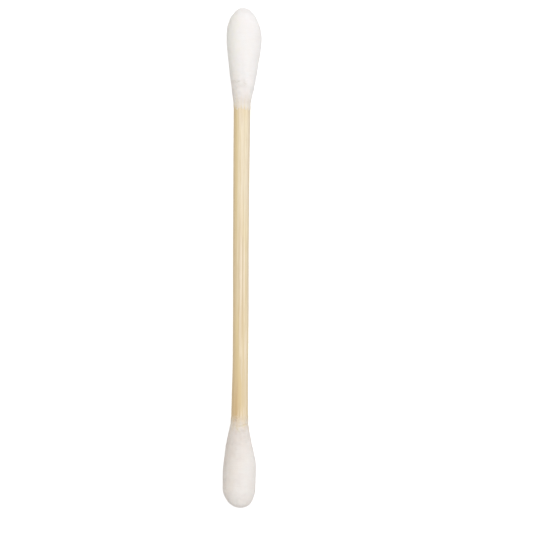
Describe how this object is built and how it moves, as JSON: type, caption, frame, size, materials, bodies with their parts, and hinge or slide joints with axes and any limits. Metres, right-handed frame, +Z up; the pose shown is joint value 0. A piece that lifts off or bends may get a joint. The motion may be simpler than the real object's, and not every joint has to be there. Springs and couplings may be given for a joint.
{
  "type": "cotton swab",
  "caption": "Slim wooden stick with a wound cotton head on each end, one teardrop-shaped and one blunter, lying on its side.",
  "frame": {"origin": "on the table, under the middle of the swab", "axes": "+Y along the stick towards the teardrop-shaped head, +X to the right seen from above, +Z up from the table"},
  "size_m": [0.0054, 0.0736, 0.005],
  "materials": {
    "stick": "matte",
    "cotton": "matte"
  },
  "bodies": {
    "root": {"stick": "stick", "upper_tip": "cotton", "lower_tip": "cotton"}
  },
  "joints": []
}
